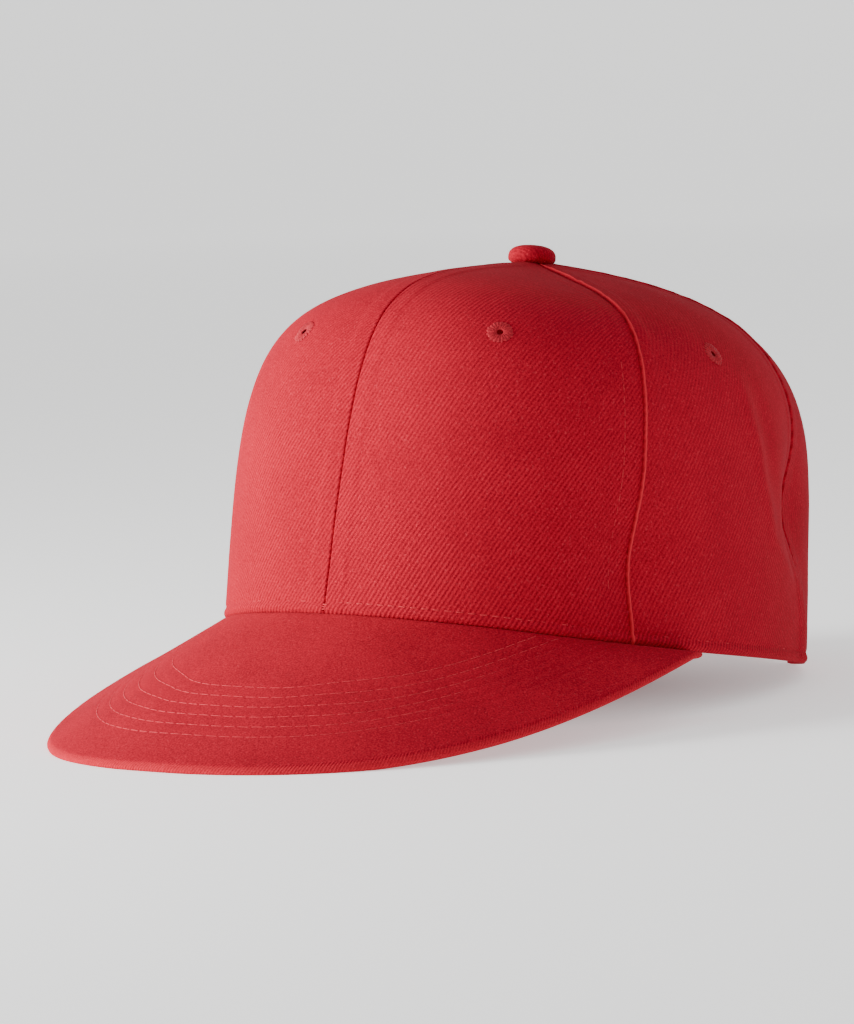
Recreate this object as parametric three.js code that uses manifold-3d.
// A six-panel snapback cap with a flat brim, resting on its brim and the back of its rim.
// Millimetres. The wearer's left is +X, the brim points towards -Y and the crown rises along +Z.
// The pieces are worked out in the crown's own frame, where the rim lies in the plane z = 0 under the
// button, and then tipped back together until brim and rim both rest on the surface below.

import * as THREE from 'three';
import { mergeVertices } from 'three/addons/utils/BufferGeometryUtils.js';
import Module from 'manifold-3d';

// Crown: half widths and reaches of the rim from the point under the button, and the height to its top.
const rimHalfWidth = 80;
const rimFrontReach = 90;
const rimBackReach = 110;
const crownHeight = 116;
const rimArch = 4.3;
const frontSquareness = 2.12;
const backSquareness = 2.0;

// Cloth walls, and the gap left wherever two pieces are sewn or seated together.
const panelWall = 1.6;
const sweatbandWall = 1.2;
const sewnGap = 0.3;

// Brim: how far it stands out beyond the rim, how far ahead of the button it is widest, how far its edge
// falls, and its thickness measured upright.
const brimReach = 74;
const brimOverhang = 10;
const brimShoulder = 31;
const brimDrop = 40;
const brimSideDroop = 8.5;
const brimThickness = 3.8;
const brimSquareness = 2.3;
const brimEndReach = 22;
const brimEndAngle = 80;
const brimEdgeSweep = 118;

// Button on the top, with the shank that holds the six panels.
const buttonDiameter = 14.5;
const buttonHeight = 5;
const shankDiameter = 5;
const shankDepth = 4;

// Sewn eyelets.
const eyeletDiameter = 8;
const eyeletHole = 3;
const eyeletProud = 0.7;
const eyeletBarrelWall = 0.6;

// Sweatband.
const sweatbandHeight = 30;
const sweatbandFoot = 0.5;

// Opening at the back, and the snap strap across its foot.
const archHalfWidth = 40;
const archHeight = 48;
const strapWidth = 20;
const strapWall = 1.6;
const strapFoot = 4.5;
const strapTuck = 12;
const studDiameter = 4;
const studHeight = 1.6;
const studTipHeight = 0.6;
const studPitch = 9.5;
const strapHole = 4.6;

// How much of the cloth's lowest edge is pressed flat where the cap rests.
const restPress = 0.6;

// The seams from front to back. angle: degrees round the rim. The other columns shape the curve that
// climbs from rim to button: lean is how far it leans in above the rim and top is how far out its shoulder
// reaches, as shares of the rim's reach; wall is how high it climbs and drop is how far its shoulder lies
// below the top, as shares of the crown's height.
const seams = [
  { angle: 0, lean: 0.10, wall: 0.83, top: 0.89, drop: 0.10 },
  { angle: 66, lean: -0.01, wall: 0.90, top: 0.93, drop: 0.18 },
  { angle: 122, lean: 0.05, wall: 0.71, top: 1.01, drop: 0.06 },
  { angle: 180, lean: -0.03, wall: 0.73, top: 0.96, drop: 0.08 },
];

// How much fuller each panel is in its middle than along its seams, in the same shares.
const bellies = [
  { panel: 'front', lean: -0.04, top: -0.01 },
  { panel: 'side', lean: 0, top: 0 },
  { panel: 'back', lean: -0.03, top: 0.04 },
];

// Dents pressed in along the seams. seam: place round the crown. height and tall are shares of the crown's
// height, wide is a share of a panel, depth is a share of the rim's reach there, and sway moves the seam
// round the crown by a share of the rim's half width.
const dents = [
  { seam: 1, height: 0.20, wide: 0.14, tall: 0.16, depth: 0.045, sway: -0.03 },
  { seam: 2, height: 0.40, wide: 0.18, tall: 0.16, depth: 0.067, sway: 0 },
];
const swayWidth = 0.35;

// The eyelets, by place round the crown (whole numbers are seams) and by share of the climb to the button.
const eyelets = [
  { name: 'eyelet_front_left', around: 0.50, climb: 0.466 },
  { name: 'eyelet_front_right', around: -0.36, climb: 0.458 },
  { name: 'eyelet_side_left', around: 1.43, climb: 0.503 },
  { name: 'eyelet_side_right', around: -1.43, climb: 0.503 },
  { name: 'eyelet_back_left', around: 2.50, climb: 0.505 },
  { name: 'eyelet_back_right', around: -2.50, climb: 0.505 },
];

// The strap from its right end to its left end. across: share of the opening's half width. outer and inner
// are the layers that its faces lie on: -1 is one strap thickness further out than the tucked ends.
const strapSteps = [
  { across: -0.90, outer: 0, inner: 1 },
  { across: -0.72, outer: -1, inner: 0 },
  { across: -0.46, outer: -1, inner: 0 },
  { across: -0.45, outer: -1, inner: 1 },
  { across: 0.44, outer: -1, inner: 1 },
  { across: 0.45, outer: 0, inner: 1 },
];

// Places of the snaps, in pitches from the middle of the strap.
const snapTips = [-1.5, -0.5, 0.5, 1.5];
const snapStuds = [2.5, 3.5];
const snapHoles = [-2.5];

// Fineness of the meshes.
const panelColumns = 12;
const panelRows = 18;
const meshDraw = 0.4;
const brimColumns = 46;
const brimRows = 6;
const bandRows = 5;
const strapColumnLength = 7;
const roundSides = 14;
const buttonSides = 24;

const clothRed = 0xbe1e2d;
const threadRed = 0xd2503c;
const plasticRed = 0xb01a28;

const wasm = await Module();
wasm.setup();

// Finds where a steadily changing function crosses zero between two values.
function solve(f, low, high) {
  const rising = f(high) > f(low);
  for (let step = 0; step < 50; step += 1) {
    const middle = (low + high) / 2;
    if (f(middle) > 0 === rising) high = middle;
    else low = middle;
  }
  return (low + high) / 2;
}

const mix = THREE.MathUtils.lerp;

// An even share from 0 to 1 drawn towards both ends, so that a mesh is finer at the seams than between them.
function drawnToEnds(share) {
  return share - (meshDraw * Math.sin(2 * Math.PI * share)) / (2 * Math.PI);
}

// Outline of the rim at an angle round it, 0 at the front and 180 at the back.
function rimPoint(degrees) {
  const angle = THREE.MathUtils.degToRad(degrees);
  const sine = Math.sin(angle);
  const cosine = Math.cos(angle);
  const front = cosine > 0;
  const power = 2 / (front ? frontSquareness : backSquareness);
  const reach = front ? rimFrontReach : rimBackReach;
  return new THREE.Vector3(
    rimHalfWidth * Math.sign(sine) * Math.abs(sine) ** power,
    -reach * Math.sign(cosine) * Math.abs(cosine) ** power,
    front ? rimArch * cosine ** 2 : 0,
  );
}

// The row of the seam table at any place round the crown: straight between seams, plus the panel's belly.
function sectionAt(around) {
  const place = Math.min(Math.abs(around), seams.length - 1);
  const index = Math.min(Math.floor(place), seams.length - 2);
  const share = place - index;
  const swell = 4 * share * (1 - share);
  const [before, after, belly] = [seams[index], seams[index + 1], bellies[index]];
  return {
    angle: mix(before.angle, after.angle, share),
    lean: mix(before.lean, after.lean, share) + belly.lean * swell,
    wall: mix(before.wall, after.wall, share),
    top: mix(before.top, after.top, share) + belly.top * swell,
    drop: mix(before.drop, after.drop, share),
  };
}

// Outside of the crown. around: -3 to 3, whole numbers are seams. climb: 0 at the rim to 1 at the button.
function crownPoint(around, climb) {
  const place = Math.abs(around);
  const side = around < 0 ? -1 : 1;
  const section = sectionAt(around);
  const rim = rimPoint(section.angle);
  const rest = 1 - climb;
  const weights = [rest ** 3, 3 * climb * rest ** 2, 3 * climb ** 2 * rest, climb ** 3];
  const height = weights[0] * rim.z
    + weights[1] * (rim.z + section.wall * crownHeight)
    + weights[2] * (1 - section.drop) * crownHeight
    + weights[3] * crownHeight;
  let spread = weights[0] + weights[1] * (1 - section.lean) + weights[2] * section.top;
  let sway = 0;
  for (const dent of dents) {
    const level = Math.exp(-(((height / crownHeight - dent.height) / dent.tall) ** 2));
    spread -= dent.depth * level * Math.exp(-(((place - dent.seam) / dent.wide) ** 2));
    sway += dent.sway * rimHalfWidth * level * Math.exp(-(((place - dent.seam) / swayWidth) ** 2));
  }
  const angle = THREE.MathUtils.degToRad(section.angle);
  return new THREE.Vector3(
    side * (rim.x * spread + Math.cos(angle) * sway),
    rim.y * spread + Math.sin(angle) * sway,
    height,
  );
}

// Direction straight out of the crown's outside. It runs smoothly across the seams.
function crownNormal(around, climb) {
  const step = 0.02;
  const along = crownPoint(around + step, climb).sub(crownPoint(around - step, climb));
  const up = crownPoint(around, climb + step / 2).sub(crownPoint(around, climb - step / 2));
  return along.cross(up).normalize();
}

// A point inside the crown's cloth or below it, by its depth under the outside.
function crownDepth(around, climb, depth) {
  return crownPoint(around, climb).addScaledVector(crownNormal(around, climb), -depth);
}

// The climb at which the crown stands a given height above its rim.
function climbAtHeight(around, height) {
  const foot = crownPoint(around, 0).z;
  return solve((climb) => crownPoint(around, climb).z - foot - height, 0, 0.8);
}

// The climb at which the crown has closed in to a given distance from its middle.
function climbAtRadius(around, radius) {
  const out = (climb) => Math.hypot(crownPoint(around, climb).x, crownPoint(around, climb).y);
  return solve((climb) => out(climb) - radius, 0.8, 1);
}

// The place round the back of the rim that lies a given distance from the back seam, measured across.
function aroundAtBack(across) {
  const place = solve((around) => crownPoint(around, 0).x - Math.abs(across), 2, 3);
  return across < 0 ? -place : place;
}

// One closed wall from two grids of points of equal size, its outside and its inside.
function wallGeometry(outside, inside) {
  const columns = outside.length;
  const rows = outside[0].length;
  const positions = [...outside.flat(), ...inside.flat()].flatMap((point) => point.toArray());
  const out = (column, row) => column * rows + row;
  const within = (column, row) => columns * rows + out(column, row);
  const faces = [];
  const quad = (a, b, c, d) => faces.push(a, b, c, a, c, d);
  for (let i = 0; i < columns - 1; i += 1) {
    for (let j = 0; j < rows - 1; j += 1) {
      quad(out(i, j), out(i + 1, j), out(i + 1, j + 1), out(i, j + 1));
      quad(within(i, j), within(i, j + 1), within(i + 1, j + 1), within(i + 1, j));
    }
    quad(out(i, 0), within(i, 0), within(i + 1, 0), out(i + 1, 0));
    quad(out(i, rows - 1), out(i + 1, rows - 1), within(i + 1, rows - 1), within(i, rows - 1));
  }
  for (let j = 0; j < rows - 1; j += 1) {
    quad(out(0, j), out(0, j + 1), within(0, j + 1), within(0, j));
    quad(out(columns - 1, j), within(columns - 1, j), within(columns - 1, j + 1), out(columns - 1, j + 1));
  }
  const geometry = new THREE.BufferGeometry();
  geometry.setAttribute('position', new THREE.Float32BufferAttribute(positions, 3));
  geometry.setIndex(faces);
  return geometry;
}

// A closed mesh as a solid that can be joined and cut.
function toSolid(geometry) {
  const bare = geometry.clone();
  bare.deleteAttribute('normal');
  bare.deleteAttribute('uv');
  const merged = mergeVertices(bare, 1e-5);
  const index = merged.getIndex();
  return new wasm.Manifold(new wasm.Mesh({
    numProp: 3,
    vertProperties: new Float32Array(merged.getAttribute('position').array),
    triVerts: new Uint32Array(index.array),
  }));
}

// A solid as a geometry again.
function toGeometry(solid) {
  const mesh = solid.getMesh();
  const geometry = new THREE.BufferGeometry();
  geometry.setAttribute('position', new THREE.BufferAttribute(new Float32Array(mesh.vertProperties), 3));
  geometry.setIndex(new THREE.BufferAttribute(new Uint32Array(mesh.triVerts), 1));
  return geometry;
}

// Turns and moves a geometry made along +Z so that +Z points out of the crown at a place on it.
function seatOnCrown(geometry, around, climb) {
  const turn = new THREE.Quaternion().setFromUnitVectors(
    new THREE.Vector3(0, 0, 1),
    crownNormal(around, climb),
  );
  const seat = crownPoint(around, climb);
  return geometry.applyQuaternion(turn).translate(seat.x, seat.y, seat.z);
}

// A round pin along +Z from one height to another.
function pin(diameter, low, high, sides = roundSides) {
  return new THREE.CylinderGeometry(diameter / 2, diameter / 2, high - low, sides)
    .rotateX(Math.PI / 2)
    .translate(0, 0, (low + high) / 2);
}

// Half of the sewn gap at a seam, as a share of a panel.
function seamInset(seam, climb) {
  const step = 0.01;
  const width = crownPoint(seam, climb).distanceTo(crownPoint(seam - step, climb)) / step;
  return sewnGap / 2 / width;
}

// The lower edge of a back panel: half of it runs along the rim to the foot of the opening, the other half
// up round the opening.
function backPanelEdge(share) {
  const foot = aroundAtBack(archHalfWidth);
  const crest = climbAtHeight(3, archHeight);
  if (share < 0.5) return [mix(2, foot, 2 * share), 0];
  const angle = (2 * share - 1) * (Math.PI / 2);
  return [3 - (3 - foot) * Math.cos(angle), crest * Math.sin(angle)];
}

// One panel of the crown's left half, from its first seam to the next one. side: 1 left, -1 right.
function panelGeometry(first, side) {
  const crest = shankDiameter / 2 + sewnGap;
  const outside = [];
  const inside = [];
  for (let i = 0; i <= panelColumns; i += 1) {
    const topPlace = first + drawnToEnds(i / panelColumns);
    const [edgePlace, edgeClimb] = first === 2 ? backPanelEdge(i / panelColumns) : [topPlace, 0];
    const topClimb = climbAtRadius(topPlace, crest);
    const outer = [];
    const inner = [];
    for (let j = 0; j <= panelRows; j += 1) {
      const rise = drawnToEnds(j / panelRows);
      const climb = mix(edgeClimb, topClimb, rise);
      const low = first + seamInset(Math.max(first, 0.01), climb);
      const high = first + 1 - seamInset(first + 1, climb);
      const around = side * mix(low, high, mix(edgePlace, topPlace, rise) - first);
      outer.push(crownPoint(around, climb));
      inner.push(crownDepth(around, climb, panelWall));
    }
    outside.push(outer);
    inside.push(inner);
  }
  return side > 0 ? wallGeometry(outside, inside) : wallGeometry(outside.reverse(), inside.reverse());
}

// A panel with the hole for its eyelet.
function panelSolid(first, side) {
  const eyelet = eyelets.find((row) => Math.floor(Math.abs(row.around)) === first && row.around * side > 0);
  const bore = eyeletHole + 2 * (eyeletBarrelWall + sewnGap);
  const cutter = seatOnCrown(pin(bore, -3 * panelWall, 3 * panelWall), eyelet.around, eyelet.climb);
  return toSolid(panelGeometry(first, side)).subtract(toSolid(cutter));
}

// The outer edge of the brim's top, by a share from -1 at its right end to 1 at its left end.
function brimEdge(share) {
  const angle = THREE.MathUtils.degToRad(share * brimEdgeSweep);
  const power = 2 / brimSquareness;
  const halfWidth = rimHalfWidth + brimOverhang;
  const reach = rimFrontReach + brimReach - brimShoulder;
  const across = Math.sign(angle) * Math.abs(Math.sin(angle)) ** power;
  const forward = Math.sign(Math.cos(angle)) * Math.abs(Math.cos(angle)) ** power;
  const fall = Math.max(forward, 0);
  return new THREE.Vector3(
    across * halfWidth,
    -brimShoulder - forward * (forward > 0 ? reach : brimEndReach),
    -(brimDrop + brimSideDroop * across ** 2) * fall,
  );
}

// The brim: a lip under the crown's front edge, then straight lines from the rim out to the brim's edge.
function brimGeometry() {
  const top = [];
  const bottom = [];
  for (let i = 0; i <= brimColumns; i += 1) {
    const share = (2 * i) / brimColumns - 1;
    const root = rimPoint(share * brimEndAngle);
    root.z -= sewnGap;
    const outward = new THREE.Vector3(root.x / rimHalfWidth ** 2, root.y / rimFrontReach ** 2, 0);
    const edge = brimEdge(share);
    const line = [root.clone().addScaledVector(outward.normalize(), -panelWall)];
    for (let j = 0; j <= brimRows; j += 1) line.push(root.clone().lerp(edge, j / brimRows));
    top.push(line);
    bottom.push(line.map((point) => point.clone().setZ(point.z - brimThickness)));
  }
  return wallGeometry(bottom, top);
}

// The sweatband: a band inside the crown, open at the back, where the strap's ends go on from it.
function sweatbandGeometry() {
  const depth = panelWall + sewnGap;
  const end = aroundAtBack(archHalfWidth + strapTuck) - sewnGap / rimHalfWidth;
  const shares = Array.from({ length: panelColumns }, (_, i) => drawnToEnds(i / panelColumns));
  const places = [-3, -2, -1, 0, 1, 2].flatMap((seam) => shares.map((share) => seam + share));
  const within = places.filter((place) => Math.abs(place) < end - 0.02);
  const outside = [];
  const inside = [];
  for (const around of [-end, ...within, end]) {
    const low = climbAtHeight(around, sweatbandFoot);
    const high = climbAtHeight(around, sweatbandHeight);
    const outer = [];
    const inner = [];
    for (let j = 0; j <= bandRows; j += 1) {
      outer.push(crownDepth(around, mix(low, high, j / bandRows), depth));
      inner.push(crownDepth(around, mix(low, high, j / bandRows), depth + sweatbandWall));
    }
    outside.push(outer);
    inside.push(inner);
  }
  return wallGeometry(outside, inside);
}

// The strap's columns, left to right: the steps of its table and its ends, with more between for its curve.
function strapColumns() {
  const end = (archHalfWidth + strapTuck) / archHalfWidth;
  const rows = [
    { ...strapSteps[0], across: -end },
    ...strapSteps,
    { ...strapSteps[strapSteps.length - 1], across: end },
  ];
  const columns = [rows[0]];
  for (let k = 1; k < rows.length; k += 1) {
    const [before, after] = [rows[k - 1], rows[k]];
    const count = Math.ceil(((after.across - before.across) * archHalfWidth) / strapColumnLength);
    for (let n = 1; n <= count; n += 1) {
      columns.push({
        across: mix(before.across, after.across, n / count),
        outer: mix(before.outer, after.outer, n / count),
        inner: mix(before.inner, after.inner, n / count),
      });
    }
  }
  return columns.reverse();
}

// The place of a snap: round the crown and up it, at the strap's middle height.
function snapPlace(pitches) {
  const around = aroundAtBack(pitches * studPitch);
  return [around, climbAtHeight(around, strapFoot + strapWidth / 2)];
}

// The snap strap: two plastic halves snapped together in the middle, as one solid.
function strapSolid() {
  const root = panelWall + sewnGap;
  const outside = [];
  const inside = [];
  for (const column of strapColumns()) {
    const across = column.across * archHalfWidth;
    const around = aroundAtBack(across);
    const ends = [strapFoot, strapFoot + strapWidth].map((height) => climbAtHeight(around, height));
    outside.push(ends.map((climb) => crownDepth(around, climb, root + column.outer * strapWall)));
    inside.push(ends.map((climb) => crownDepth(around, climb, root + column.inner * strapWall)));
  }
  let strap = toSolid(wallGeometry(outside, inside));
  const bite = strapWall / 2;
  for (const pitches of snapTips) {
    const tip = pin(studDiameter, -root + strapWall - bite, -root + strapWall + studTipHeight);
    strap = strap.add(toSolid(seatOnCrown(tip, ...snapPlace(pitches))));
  }
  for (const pitches of snapStuds) {
    const stud = pin(studDiameter, -root - bite, -root + studHeight);
    strap = strap.add(toSolid(seatOnCrown(stud, ...snapPlace(pitches))));
  }
  for (const pitches of snapHoles) {
    const hole = pin(strapHole, -root - 2 * strapWall, -root + 3 * strapWall);
    strap = strap.subtract(toSolid(seatOnCrown(hole, ...snapPlace(pitches))));
  }
  return strap;
}

// Highest point of the crown at a distance from its middle.
function crownHeightAt(radius) {
  const heights = [0, 1, 2, 3].map((seam) => crownPoint(seam, climbAtRadius(seam, radius)).z);
  return Math.max(...heights);
}

// The button: a shank through the crown's middle under a domed, cloth-covered head.
function buttonGeometry() {
  const shank = shankDiameter / 2;
  const head = buttonDiameter / 2;
  const neck = crownHeightAt(shank + sewnGap) + sewnGap;
  const skirt = crownHeightAt(head) + sewnGap;
  const foot = crownHeight - panelWall - shankDepth;
  const dome = [
    { out: 0.97, up: 0.04 },
    { out: 1.00, up: 0.28 },
    { out: 0.95, up: 0.55 },
    { out: 0.80, up: 0.80 },
    { out: 0.50, up: 0.95 },
    { out: 0.00, up: 1.00 },
  ];
  const profile = [
    new THREE.Vector2(0, foot),
    new THREE.Vector2(shank, foot),
    new THREE.Vector2(shank, neck),
    ...dome.map((row) => new THREE.Vector2(row.out * head, mix(skirt, crownHeight + buttonHeight, row.up))),
  ];
  return new THREE.LatheGeometry(profile, buttonSides).rotateX(Math.PI / 2);
}

// An eyelet: a low ring of thread on the cloth and the barrel that lines the hole, along +Z.
function eyeletGeometry() {
  const hole = eyeletHole / 2;
  const barrel = hole + eyeletBarrelWall;
  const rim = eyeletDiameter / 2;
  const crest = sewnGap + eyeletProud;
  const profile = [
    new THREE.Vector2(hole, -panelWall),
    new THREE.Vector2(barrel, -panelWall),
    new THREE.Vector2(barrel, sewnGap),
    new THREE.Vector2(rim, sewnGap),
    new THREE.Vector2(mix(barrel, rim, 0.75), crest),
    new THREE.Vector2(mix(barrel, rim, 0.2), crest),
    new THREE.Vector2(hole, mix(sewnGap, crest, 0.3)),
    new THREE.Vector2(hole, -panelWall),
  ];
  return new THREE.LatheGeometry(profile, roundSides).rotateX(Math.PI / 2);
}

// Lowest level of a geometry when the cap is tipped back by an angle.
function lowestLevel(geometry, tip) {
  const position = geometry.getAttribute('position');
  let lowest = Infinity;
  for (let i = 0; i < position.count; i += 1) {
    lowest = Math.min(lowest, position.getZ(i) * Math.cos(tip) - position.getY(i) * Math.sin(tip));
  }
  return lowest;
}

function addPiece(group, name, geometry, colour, roughness) {
  geometry.computeVertexNormals();
  const material = new THREE.MeshStandardMaterial({ color: colour, roughness, metalness: 0 });
  const mesh = new THREE.Mesh(geometry, material);
  mesh.name = name;
  group.add(mesh);
}

const panelSolids = [];
for (const [first, belly] of bellies.entries()) {
  for (const [word, side] of [['left', 1], ['right', -1]]) {
    panelSolids.push({ name: `${belly.panel}_panel_${word}`, solid: panelSolid(first, side) });
  }
}
const brim = brimGeometry();
const strap = toGeometry(strapSolid());

// The tip at which the brim's lowest edge and the lowest edge at the back come down together.
const backPieces = [strap, ...panelSolids.slice(-2).map((panel) => toGeometry(panel.solid))];
const backLevel = (tip) => Math.min(...backPieces.map((piece) => lowestLevel(piece, tip)));
const restTip = solve((tip) => lowestLevel(brim, tip) - backLevel(tip), 0, Math.PI / 6);

// Everything below the surface that the cap presses on, as one block to cut away.
const restLevel = backLevel(restTip) + restPress;
const blockSize = 4 * rimBackReach;
const surface = new THREE.BoxGeometry(blockSize, blockSize, blockSize)
  .translate(0, 0, restLevel - blockSize / 2)
  .rotateX(restTip);
const pressed = (solid) => toGeometry(solid.subtract(toSolid(surface)));

const cap = new THREE.Group();
for (const { name, solid } of panelSolids) addPiece(cap, name, pressed(solid), clothRed, 0.92);
addPiece(cap, 'brim', pressed(toSolid(brim)), clothRed, 0.92);
addPiece(cap, 'top_button', buttonGeometry(), clothRed, 0.92);
addPiece(cap, 'sweatband', sweatbandGeometry(), clothRed, 0.9);
addPiece(cap, 'snap_strap', strap, plasticRed, 0.45);
for (const { name, around, climb } of eyelets) {
  const eyelet = eyeletGeometry();
  addPiece(cap, name, eyelet, threadRed, 0.8);
  const mesh = cap.children[cap.children.length - 1];
  mesh.quaternion.setFromUnitVectors(new THREE.Vector3(0, 0, 1), crownNormal(around, climb));
  mesh.position.copy(crownPoint(around, climb));
}
cap.rotation.x = -restTip;

// The origin is the middle of the footprint, on the surface that the cap rests on.
const box = new THREE.Box3().setFromObject(cap, true);
cap.position.set(-(box.min.x + box.max.x) / 2, -(box.min.y + box.max.y) / 2, -box.min.z);

const group = new THREE.Group();
group.add(cap);

export default group;
